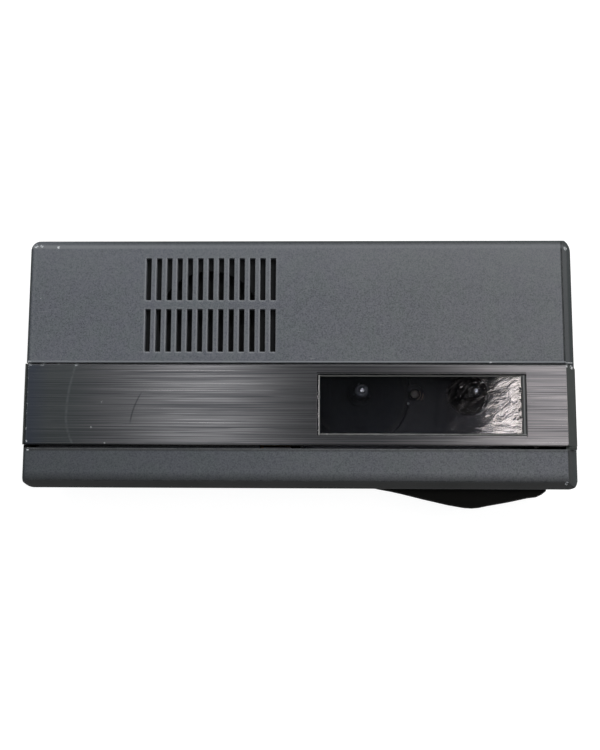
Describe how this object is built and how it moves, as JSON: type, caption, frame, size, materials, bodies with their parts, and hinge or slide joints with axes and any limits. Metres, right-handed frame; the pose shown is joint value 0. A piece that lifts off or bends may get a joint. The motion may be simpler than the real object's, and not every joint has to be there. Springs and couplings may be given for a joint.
{
  "type": "dictation machine",
  "caption": "Handheld cassette dictation machine with a slotted speaker grille, a hinged full-width brushed door with a window over the tape bay, a thumb slide and a battery lid.",
  "frame": {"origin": "middle of the flat back face", "axes": "+X along the case towards the sockets, +Y towards the long edge beside the grille, +Z out of the front face"},
  "size_m": [0.123, 0.0602, 0.0265],
  "materials": {
    "case_paint": "satin grey paint",
    "rear_plastic": "fine texture",
    "door_plastic": "satin",
    "brushed_plate": "brushed along the length",
    "window": "clear",
    "steel": "plain",
    "spring_steel": "nickelled",
    "black_plastic": "moulded",
    "dark_plastic": "moulded",
    "grey_plastic": "moulded",
    "cloth": "woven",
    "paper_cone": "pressed paper",
    "magnet": "plain",
    "board": "phenolic",
    "chip": "moulded",
    "can": "drawn",
    "pale_plastic": "moulded",
    "rubber": "ground",
    "brass": "turned",
    "red_plastic": "moulded",
    "head_metal": "polished"
  },
  "bodies": {
    "case": {"front_cover": "case_paint", "rear_cover": "rear_plastic", "door_catch": "spring_steel", "inner_panel": "dark_plastic", "grille_backing": "dark_plastic", "speaker_gauze": "cloth", "speaker_basket": "steel", "speaker_cone": "paper_cone", "speaker_magnet": "magnet", "main_board": "board", "amplifier_chip": "chip", "capacitor": "can", "bias_coil": "can", "volume_pot": "grey_plastic", "microphone_capsule": "can", "record_switch": "grey_plastic", "deck_plate": "steel", "deck_moulding": "dark_plastic", "take_up_pin": "steel", "supply_pin": "steel", "capstan_bearing": "brass", "flywheel_bracket": "steel", "motor": "can", "drive_belt": "rubber", "idler_belt": "rubber", "battery_spring_left": "spring_steel", "battery_spring_right": "spring_steel", "battery_plate_positive": "spring_steel", "battery_plate_negative": "spring_steel", "battery_bridge": "spring_steel", "earphone_jack": "black_plastic", "microphone_jack": "black_plastic", "power_jack": "black_plastic", "case_screw_1": "steel", "case_screw_2": "steel", "case_screw_3": "steel", "case_screw_4": "steel"},
    "lid": {"battery_door": "rear_plastic"},
    "door": {"door_frame": "door_plastic", "door_plate": "brushed_plate", "door_window": "window", "door_pin_left": "steel", "door_pin_right": "steel"},
    "wheel": {"volume_wheel": "black_plastic"},
    "button": {"record_button": "red_plastic"},
    "take_up": {"take_up_reel": "grey_plastic", "take_up_tyre": "rubber"},
    "supply": {"supply_reel": "grey_plastic"},
    "idler": {"idler_wheel": "black_plastic", "idler_cap": "pale_plastic"},
    "flywheel": {"capstan": "steel", "flywheel": "brass"},
    "motor": {"motor_pulley": "brass"},
    "carriage": {"head_carriage": "steel", "record_head": "head_metal", "erase_head": "black_plastic"},
    "pinch": {"pinch_roller": "rubber"},
    "slide": {"thumb_slide": "black_plastic", "slide_link": "steel"}
  },
  "joints": [
    {"name": "door_hinge", "type": "hinge", "parent": "case", "child": "door", "pos_m": [0, -0.00275, 0.02495], "axis": [-1, 0, 0], "range_deg": [0, 75]},
    {"name": "lid_slide", "type": "slide", "parent": "case", "child": "lid", "axis": [-1, 0, 0], "range_m": [0, 0.058]},
    {"name": "thumb_slide", "type": "slide", "parent": "case", "child": "slide", "axis": [1, 0, 0], "range_m": [0, 0.004]},
    {"name": "carriage_slide", "type": "slide", "parent": "case", "child": "carriage", "axis": [0, -1, 0], "range_m": [0, 0.0025]},
    {"name": "pinch_spin", "type": "hinge", "parent": "carriage", "child": "pinch", "pos_m": [0.0105, 0.01745, 0.0175], "axis": [0, 0, 1], "continuous": true},
    {"name": "flywheel_spin", "type": "hinge", "parent": "case", "child": "flywheel", "pos_m": [0.0105, 0.0115, 0.0034], "axis": [0, 0, 1], "continuous": true},
    {"name": "motor_spin", "type": "hinge", "parent": "case", "child": "motor", "pos_m": [0.0385, 0.0168, 0.0034], "axis": [0, 0, 1], "continuous": true},
    {"name": "idler_spin", "type": "hinge", "parent": "case", "child": "idler", "pos_m": [0.0266, -0.00605, 0.0124], "axis": [0, 0, 1], "continuous": true},
    {"name": "take_up_spin", "type": "hinge", "parent": "case", "child": "take_up", "pos_m": [0.01385, -0.00605, 0.0124], "axis": [0, 0, 1], "continuous": true},
    {"name": "supply_spin", "type": "hinge", "parent": "case", "child": "supply", "pos_m": [0.03935, -0.00605, 0.0124], "axis": [0, 0, 1], "continuous": true},
    {"name": "record_press", "type": "slide", "parent": "case", "child": "button", "axis": [0, 1, 0], "range_m": [0, 0.001], "stiffness_N_per_m": 300, "springref_m": -0.0005},
    {"name": "volume_turn", "type": "hinge", "parent": "case", "child": "wheel", "pos_m": [-0.046, 0.0215, 0.0206], "axis": [0, 0, 1], "range_deg": [0, 270]}
  ],
  "couplings": [
    {"joint": "carriage_slide", "follows": "thumb_slide", "ratio": 0.625},
    {"joint": "motor_spin", "follows": "flywheel_spin", "ratio": 7.6667},
    {"joint": "idler_spin", "follows": "flywheel_spin", "ratio": 0.7561},
    {"joint": "take_up_spin", "follows": "flywheel_spin", "ratio": -0.084386}
  ]
}
